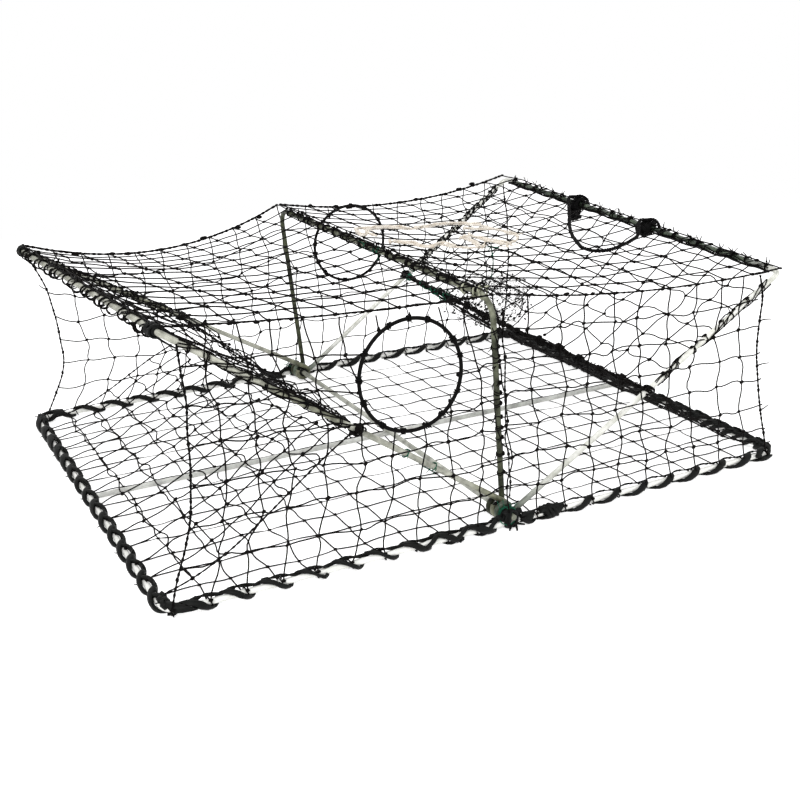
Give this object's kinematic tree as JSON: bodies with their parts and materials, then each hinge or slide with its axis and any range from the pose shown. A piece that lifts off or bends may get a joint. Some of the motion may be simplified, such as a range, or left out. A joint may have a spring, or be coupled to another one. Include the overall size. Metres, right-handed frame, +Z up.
{
  "type": "folding crab trap",
  "caption": "Folding crab trap: steel rod base with hinged hoops, knotted netting, slanted slit entrances at both ends, escape rings in the sides and a rope lifting loop.",
  "frame": {"origin": "on the ground under the middle of the base", "axes": "+X along the length towards the end with the rope loop, -Y the near side in the picture, +Z up"},
  "size_m": [0.7744, 0.6104, 0.2757],
  "materials": {
    "galvanised_rod": "dull galvanised zinc",
    "rubber_strip": "matt black rubber strip cut from tube",
    "ring_wire": "black coated wire",
    "net_twine": "black knotted twine",
    "cotton_cord": "undyed cotton cord",
    "lift_cord": "black braided rope",
    "green_twine": "green twisted twine",
    "bait_mesh": "fine black mesh"
  },
  "bodies": {
    "base": {"base_frame": "galvanised_rod", "long_brace": "galvanised_rod", "hinge_rod": "galvanised_rod", "near_strip_left": "rubber_strip", "near_strip_right": "rubber_strip", "far_strip_left": "rubber_strip", "far_strip_right": "rubber_strip", "left_strip": "rubber_strip", "right_strip": "rubber_strip", "near_pivot_binding": "rubber_strip", "far_pivot_binding": "rubber_strip", "floor_net": "net_twine", "left_lower_ramp": "net_twine", "right_lower_ramp": "net_twine", "near_left_corner_cord": "net_twine", "near_right_corner_cord": "net_twine", "far_left_corner_cord": "net_twine", "far_right_corner_cord": "net_twine"},
    "arch": {"center_arch": "galvanised_rod", "arch_lashing": "net_twine"},
    "left_bail": {"left_bail": "galvanised_rod", "left_bail_lashing": "net_twine", "left_upper_ramp": "net_twine", "left_slit_cord": "net_twine", "left_near_slit_knot": "net_twine", "left_far_slit_knot": "net_twine", "left_roof_net": "net_twine"},
    "right_bail": {"right_bail": "galvanised_rod", "right_bail_lashing": "net_twine", "right_upper_ramp": "net_twine", "right_slit_cord": "net_twine", "right_near_slit_knot": "net_twine", "right_far_slit_knot": "net_twine", "right_roof_net": "net_twine", "roof_lacing": "cotton_cord", "lift_rope": "lift_cord", "lift_knot_near": "lift_cord", "lift_knot_far": "lift_cord", "bait_bag": "bait_mesh", "bait_bag_tie": "green_twine"},
    "near_side": {"near_escape_ring": "ring_wire", "near_side_net": "net_twine"},
    "far_side": {"far_escape_ring": "ring_wire", "far_side_net": "net_twine"}
  },
  "joints": [
    {"name": "left_bail_fold", "type": "hinge", "parent": "base", "child": "left_bail", "pos_m": [0, 0, 0.01418], "axis": [0, -1, 0], "range_deg": [0, 30], "deforming": ["left_roof_net", "left_lower_ramp", "near_left_corner_cord", "far_left_corner_cord"]},
    {"name": "right_bail_fold", "type": "hinge", "parent": "base", "child": "right_bail", "pos_m": [0, 0, 0.01418], "axis": [0, 1, 0], "range_deg": [0, 27.7], "deforming": ["right_roof_net", "roof_lacing", "right_lower_ramp", "near_right_corner_cord", "far_right_corner_cord"]},
    {"name": "arch_fold", "type": "hinge", "parent": "base", "child": "arch", "pos_m": [0, 0, 0.01418], "axis": [0, -1, 0], "range_deg": [0, 78]},
    {"name": "near_side_fold", "type": "hinge", "parent": "base", "child": "near_side", "pos_m": [0, -0.3042, 0.00878], "axis": [-1, 0, 0], "range_deg": [0, 88.6], "deforming": ["near_side_net"]},
    {"name": "far_side_fold", "type": "hinge", "parent": "base", "child": "far_side", "pos_m": [0, 0.3042, 0.00878], "axis": [1, 0, 0], "range_deg": [0, 88.6], "deforming": ["far_side_net"]}
  ],
  "couplings": [
    {"joint": "right_bail_fold", "follows": "left_bail_fold", "ratio": 0.92},
    {"joint": "arch_fold", "follows": "left_bail_fold", "ratio": 2.6},
    {"joint": "near_side_fold", "follows": "left_bail_fold", "ratio": 2.95},
    {"joint": "far_side_fold", "follows": "left_bail_fold", "ratio": 2.95}
  ]
}
